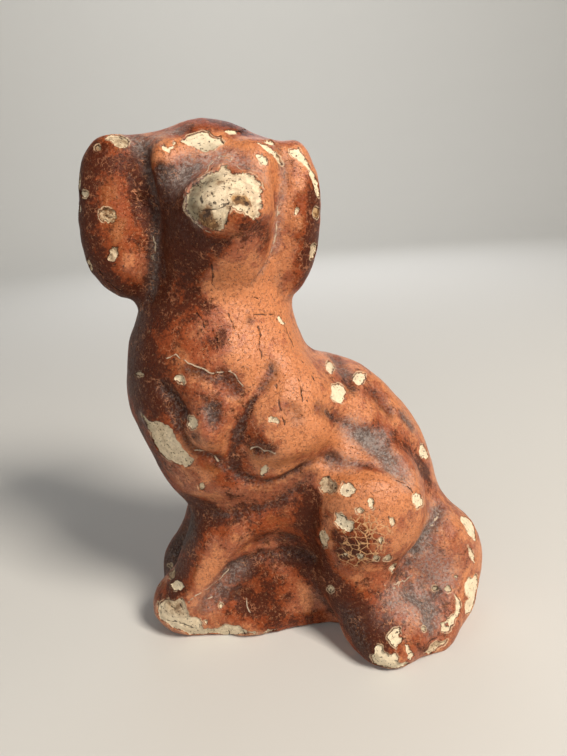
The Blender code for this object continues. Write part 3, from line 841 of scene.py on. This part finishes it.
def crazed_varnish_on_plaster():
    """Oil-bound orange paint under aged varnish, on a cast plaster body.

    The varnish gives a satin gloss and has crazed into a fine net; where it has flaked, the matt,
    cream, bubbly plaster shows. Dirt and painted shade lie dull, grey and dark in every hollow, and
    painted shade darkens the figure's shaded left, lower and under sides.
    """
    material = bpy.data.materials.new("crazed_varnish_on_plaster")
    material.use_nodes = True
    tree = material.node_tree
    shader = tree.nodes["Principled BSDF"]
    put = partial(add, tree)
    where = put("ShaderNodeTexCoord", output="Object")
    mm = put(VECTOR, {0: where, "Scale": MM}, operation="SCALE")
    layer = {name: put("ShaderNodeAttribute", output="Fac", attribute_name=name) for name in LAYERS}
    grown = {name: put(NOISE, {"Vector": mm, "Scale": 1 / size, "Detail": octaves, "Roughness": rough})
             for name, (size, octaves, rough) in GROWTHS.items()}
    steps = dict(interpolation_type="SMOOTHSTEP")
    mark = {name: put(RANGE, {"Value": grown[growth], 1: low, 2: high}, **steps)
            for name, (growth, low, high) in MARKS.items()}
    uneven = {name: put(MATH, {0: grown[name], 1: 0.5}, operation="SUBTRACT")
              for name in ("ragged", "broad", "mottle", "blotch")}

    # Where the coat has gone, with a ragged edge; beside it a dark line that is partly dirt in the gap and
    # partly painted shadow under the broken coat, and pale lifted flakes
    edge = put(MATH, {0: uneven["ragged"], 1: 1.15, 2: layer["bare"]}, operation="MULTIPLY_ADD")
    chipped = put(RANGE, {"Value": edge, 1: -0.03, 2: 0.05}, **steps)
    beside = put(RANGE, {"Value": edge, 1: -0.30, 2: -0.04}, **steps)
    dark_line = put(MATH, {0: beside, 1: mark["cracked_and_shaded"]}, operation="MULTIPLY")
    outer = put(RANGE, {"Value": edge, 1: -0.60, 2: -0.34}, **steps)
    pale_line = put(MATH, {0: outer, 1: beside}, operation="SUBTRACT")
    pale_line = put(MATH, {0: pale_line, 1: mark["lifted"]}, operation="MULTIPLY", use_clamp=True)

    # How worn, shaded and sunk each place is sets how far it has gone from orange to red to dark brown: its
    # tone tints hold the coat's colour zones and painted shade, how sunk it is paints shade in recesses,
    # and grooves and creases add theirs
    aged_and_shaded = put(MATH, {0: layer["tone"], 1: -0.4, 2: 0.08}, operation="MULTIPLY_ADD")
    aged_and_shaded = put(MATH, {0: layer["sunk"], 1: 0.12, 2: aged_and_shaded}, operation="MULTIPLY_ADD")
    aged_and_shaded = put(MATH, {0: uneven["broad"], 1: 1.3, 2: aged_and_shaded}, operation="MULTIPLY_ADD")
    red = put(MATH, {0: uneven["mottle"], 1: 3.0, 2: aged_and_shaded}, operation="MULTIPLY_ADD")
    red = put(RANGE, {"Value": red, 1: -0.20, 2: 0.26}, **steps)
    dark = put(MATH, {0: layer["grime_and_shade"], 1: 0.25, 2: aged_and_shaded}, operation="MULTIPLY_ADD")
    dark = put(MATH, {0: uneven["blotch"], 1: 3.0, 2: dark}, operation="MULTIPLY_ADD")
    dark = put(RANGE, {"Value": dark, 1: 0.18, 2: 0.56}, **steps)

    tanned_and_shaded = put(MATH, {0: uneven["mottle"], 1: 1.4, 2: layer["grime_and_shade"]}, operation="MULTIPLY_ADD")
    tanned_and_shaded = put(MATH, {0: layer["tone"], 1: -1.0, 2: tanned_and_shaded}, operation="MULTIPLY_ADD")
    deep = put(RANGE, {"Value": tanned_and_shaded, 1: 0.65, 2: 1.35}, **steps)
    tanned_and_shaded = put(RANGE, {"Value": tanned_and_shaded, 1: 0.05, 2: 0.80}, **steps)
    orange = put(MIX, {0: grown["fine"], 6: linear("#DA8E5A"), 7: linear("#AE6236")}, 2, data_type="RGBA")

    # Crazing: a fine net and a wider one, both a little bent
    bend = put(NOISE, {"Vector": mm, "Scale": 1 / 2.2, "Detail": 2.0}, "Color")
    bend = put(VECTOR, {0: bend, 1: (0.5, 0.5, 0.5)}, operation="SUBTRACT")
    bent = put(VECTOR, {0: bend, 1: (1.6, 1.6, 1.6), 2: mm}, operation="MULTIPLY_ADD")
    fine_net = put(CELLS, {"Vector": bent, "Scale": 1 / 1.5}, feature="DISTANCE_TO_EDGE")
    fine_net = put(RANGE, {"Value": fine_net, 1: 0.10, 2: 0.03}, **steps)
    wide_cells = put(CELLS, {"Vector": bent, "Scale": 1 / 2.5}, feature="DISTANCE_TO_EDGE")
    wide_net = put(RANGE, {"Value": wide_cells, 1: 0.034, 2: 0.01}, **steps)
    nets = put(MATH, {0: fine_net, 1: wide_net}, operation="MAXIMUM")
    in_red = put(MATH, {0: mark["somewhere"], 1: red}, operation="MULTIPLY")
    in_red = put(MATH, {0: in_red, 1: 0.55, 2: layer["craze"]}, operation="MULTIPLY_ADD", use_clamp=True)
    pale_net = put(MATH, {0: nets, 1: in_red}, operation="MULTIPLY")
    pale_net = put(MATH, {0: pale_net, 1: mark["worn_thin"]}, operation="MULTIPLY")
    dark_net = put(MATH, {0: wide_net, 1: mark["broken"]}, operation="MULTIPLY")
    clean = put(MATH, {0: 1.0, 1: red}, operation="SUBTRACT")
    dark_net = put(MATH, {0: dark_net, 1: clean}, operation="MULTIPLY")
    open_net = put(RANGE, {"Value": wide_cells, 1: 0.075, 2: 0.03}, **steps)
    open_net = put(MATH, {0: open_net, 1: mark["kept"]}, operation="MULTIPLY")
    most_crazed = put(RANGE, {"Value": layer["craze"], 1: 0.5, 2: 0.8}, **steps)
    open_net = put(MATH, {0: open_net, 1: most_crazed}, operation="MULTIPLY")

    # Near-black marks darken the dirt and the painted shade in its layer; a grey, dusty film lies on the
    # patches given, and as fluff in every groove
    soot_and_shade = put(MATH, {0: grown["stain"], 1: 2.2, 2: -0.3}, operation="MULTIPLY_ADD", use_clamp=True)
    soot_and_shade = put(MATH, {0: soot_and_shade, 1: layer["grime_and_shade"]}, operation="MULTIPLY", use_clamp=True)
    film = put(MATH, {0: mark["fluff"], 1: 0.75, 2: 0.25}, operation="MULTIPLY_ADD")
    film = put(MATH, {0: layer["dust_and_shade"], 1: film}, operation="MULTIPLY")
    fluff = put(MATH, {0: mark["fluff"], 1: 0.45}, operation="MULTIPLY")
    fluff = put(MATH, {0: layer["grime_and_shade"], 1: fluff}, operation="MULTIPLY")
    dusty = put(MATH, {0: film, 1: fluff}, operation="MAXIMUM", use_clamp=True)

    # Cracks, hairlines, painted highlight lines and painted shadow lines that were drawn on the figure,
    # broken up a little
    drawn = {}
    for name, low, high in (("scratch_and_glint", 0.28, 0.55), ("crack_and_shadow", 0.36, 0.72)):
        worn = put(MATH, {0: uneven["ragged"], 1: 1.4, 2: layer[name]}, operation="MULTIPLY_ADD")
        drawn[name] = put(RANGE, {"Value": worn, 1: low, 2: high}, **steps)

    # The coat's colours, each laid over those before it; the tan, deep, dark and near-black layers carry
    # painted shade from the tints and hollows, the pale drawn lines include painted highlights, and the
    # dark line beside a chip is partly painted shadow
    coat = orange
    for share, mask, colour in (
            (0.85, tanned_and_shaded, "#7C3F1A"),
            (0.85, deep, "#3A1A08"),
            (0.80, red, "#904220"),
            (0.88, dark, "#40190A"),
            (0.80, soot_and_shade, "#24150E"),
            (0.56, mark["grains"], "#401C10"),
            (0.38, mark["glints"], "#E8B082"),
            (0.75, pale_net, "#CC8A64"),
            (0.80, open_net, "#D8A878"),
            (0.26, dark_net, "#3B1A10"),
            (0.85, mark["specks"], "#1E0D08"),
            (0.64, dusty, "#A89E98"),
            (0.75, drawn["scratch_and_glint"], "#CDB9A0"),
            (0.70, dark_line, "#33190F"),
            (0.65, pale_line, "#DCC3A0")):
        mask = put(MATH, {0: mask, 1: share}, operation="MULTIPLY", use_clamp=True)
        coat = put(MIX, {0: mask, 6: coat, 7: linear(colour)}, 2, data_type="RGBA")

    # The bare plaster, with its soil, dusty grey that is also painted shade on the muzzle's left side, and
    # air bubbles, shows where the coat has gone
    plaster = put(MIX, {0: grown["mottle"], 6: linear("#F4E8D0"), 7: linear("#E6D0A8")}, 2,
                  data_type="RGBA")
    soiled = put(MATH, {0: mark["soiled"], 1: layer["soil"]}, operation="MULTIPLY", use_clamp=True)
    for share, mask, colour in ((0.55, layer["soil"], "#A87F50"), (0.60, layer["dust_and_shade"], "#7C735C"),
                                (0.90, soiled, "#6E4A2A"), (0.80, mark["pits"], "#3E2818")):
        mask = put(MATH, {0: mask, 1: share}, operation="MULTIPLY", use_clamp=True)
        plaster = put(MIX, {0: mask, 6: plaster, 7: linear(colour)}, 2, data_type="RGBA")
    colour = put(MIX, {0: chipped, 6: coat, 7: plaster}, 2, data_type="RGBA")
    # Dark cracks, pits and stains, and the painted shadows of the muzzle's flake and bead
    crack_and_shadow = put(MATH, {0: drawn["crack_and_shadow"], 1: 0.75}, operation="MULTIPLY")
    colour = put(MIX, {0: crack_and_shadow, 6: colour, 7: linear("#2A160E")}, 2, data_type="RGBA")
    tree.links.new(colour, shader.inputs["Base Color"])

    # The gloss of the varnish, dull where it is dirty, old and brown, or gone
    gloss = put(MATH, {0: grown["mottle"], 1: 0.25, 2: 0.27}, operation="MULTIPLY_ADD")
    gloss = put(MATH, {0: dusty, 1: 0.25, 2: gloss}, operation="MULTIPLY_ADD")
    gloss = put(MIX, {0: chipped, 2: gloss, 3: 0.9})
    tree.links.new(gloss, shader.inputs["Roughness"])
    dulled = put(MATH, {0: dark, 1: deep}, operation="MAXIMUM")
    dulled = put(MATH, {0: dulled, 1: tanned_and_shaded}, operation="MAXIMUM")
    dulled = put(MATH, {0: dulled, 1: soot_and_shade}, operation="MAXIMUM")
    shine = put(MATH, {0: dulled, 1: -0.47, 2: 0.62}, operation="MULTIPLY_ADD")
    tree.links.new(shine, shader.inputs["Specular IOR Level"])
    shader.inputs["IOR"].default_value = 1.5
    shader.inputs["Metallic"].default_value = 0.0

    height = put(MATH, {0: grown["fine"], 1: 0.55}, operation="MULTIPLY")
    for share, mask in ((0.25, grown["blotch"]), (-0.3, pale_net), (-0.15, dark_net), (-0.7, chipped),
                        (-0.9, mark["pits"]), (0.4, drawn["scratch_and_glint"]), (-0.6, drawn["crack_and_shadow"]),
                        (0.3, grown["grain"])):
        height = put(MATH, {0: mask, 1: share, 2: height}, operation="MULTIPLY_ADD")
    raised = put("ShaderNodeBump", {"Height": height, "Strength": 1.0, "Distance": 0.0005})
    tree.links.new(raised, shader.inputs["Normal"])
    return material


def pale_floor_paint():
    """Matt pale grey studio paint."""
    material = bpy.data.materials.new("matt_studio_paint")
    material.use_nodes = True
    tree = material.node_tree
    shader = tree.nodes["Principled BSDF"]
    shader.inputs["Base Color"].default_value = linear("#CDCCC8")
    shader.inputs["Roughness"].default_value = 0.9
    return material


def make_floor():
    """A round floor that curves up into a low wall, so no line shows behind the figure."""
    flat_radius, curve_radius, wall_top = 1.1, 0.5, 1.4
    profile = [(0.001, 0.0), (flat_radius, 0.0)]
    for number in range(1, 9):
        angle = math.radians(90 * number / 8)
        profile.append((flat_radius + curve_radius * math.sin(angle), curve_radius * (1 - math.cos(angle))))
    profile.append((flat_radius + curve_radius, wall_top))
    body = bmesh.new()
    line = [body.verts.new((x, 0.0, z)) for x, z in profile]
    edges = [body.edges.new(pair) for pair in zip(line, line[1:])]
    bmesh.ops.spin(body, geom=line + edges, cent=(0, 0, 0), axis=(0, 0, 1), angle=math.tau, steps=64,
                   use_merge=True)
    mesh = bpy.data.meshes.new("studio_floor")
    body.to_mesh(mesh)
    body.free()
    mesh.shade_smooth()
    mesh.materials.append(pale_floor_paint())
    floor = bpy.data.objects.new("studio_floor", mesh)
    bpy.context.scene.collection.objects.link(floor)
    return floor


def make_light(name, place, aim, size, power, colour):
    """A soft square light that faces a point."""
    lamp = bpy.data.lights.new(name, "AREA")
    lamp.size, lamp.energy, lamp.color = size, power, linear(colour)[:3]
    light = bpy.data.objects.new(name, lamp)
    light.location = place
    light.rotation_mode = "QUATERNION"
    light.rotation_quaternion = (Vector(place) - Vector(aim)).to_track_quat("Z", "Y")
    bpy.context.scene.collection.objects.link(light)


def make_camera():
    """The photograph's viewpoint, with its lens."""
    lens = bpy.data.cameras.new("photo_view")
    lens.sensor_width = 36.0
    lens.lens = FOCAL_PIXELS / max(PICTURE) * lens.sensor_width
    lens.clip_start = 0.005
    camera = bpy.data.objects.new("photo_view", lens)
    camera.matrix_world = Matrix.Translation(EYE) @ SIGHT_TURN.to_4x4()
    bpy.context.scene.collection.objects.link(camera)
    bpy.context.scene.camera = camera


def make_studio():
    """A dim pale world, a soft warm key from the near right, and weak fills around the figure."""
    scene = bpy.context.scene
    scene.view_settings.view_transform = "Standard"
    scene.world = bpy.data.worlds.new("studio")
    scene.world.use_nodes = True
    sky = scene.world.node_tree.nodes["Background"]
    sky.inputs["Color"].default_value = linear("#F0EEEC")
    sky.inputs["Strength"].default_value = 0.08
    chest = (0.0, 0.0, 0.08)
    make_light("key", (0.48, -0.46, 0.70), chest, 0.26, 11.5, "#FFF6EA")
    make_light("left_fill", (-0.75, -0.45, 0.45), chest, 0.5, 0.9, "#FFFFFF")
    make_light("front_fill", (-0.30, -0.80, 0.45), chest, 0.5, 1.0, "#FFFFFF")
    make_light("backdrop", (0.0, 0.7, 0.9), (0.0, 1.6, 0.2), 0.6, 6.0, "#FFFFFF")
    make_light("rear_fill", (0.10, 0.75, 0.50), chest, 0.6, 1.2, "#F4F6FF")


make_camera()
make_studio()
make_floor()

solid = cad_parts["dog_figure"]
skin = dressed_skin(solid)
skin.name = "spaniel_cast"
skin.materials.clear()
skin.materials.append(crazed_varnish_on_plaster())
spaniel = bpy.data.objects.new("spaniel_cast", skin)
bpy.context.scene.collection.objects.link(spaniel)
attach(spaniel, "root")
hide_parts("dog_figure")

bpy.context.view_layer.update()
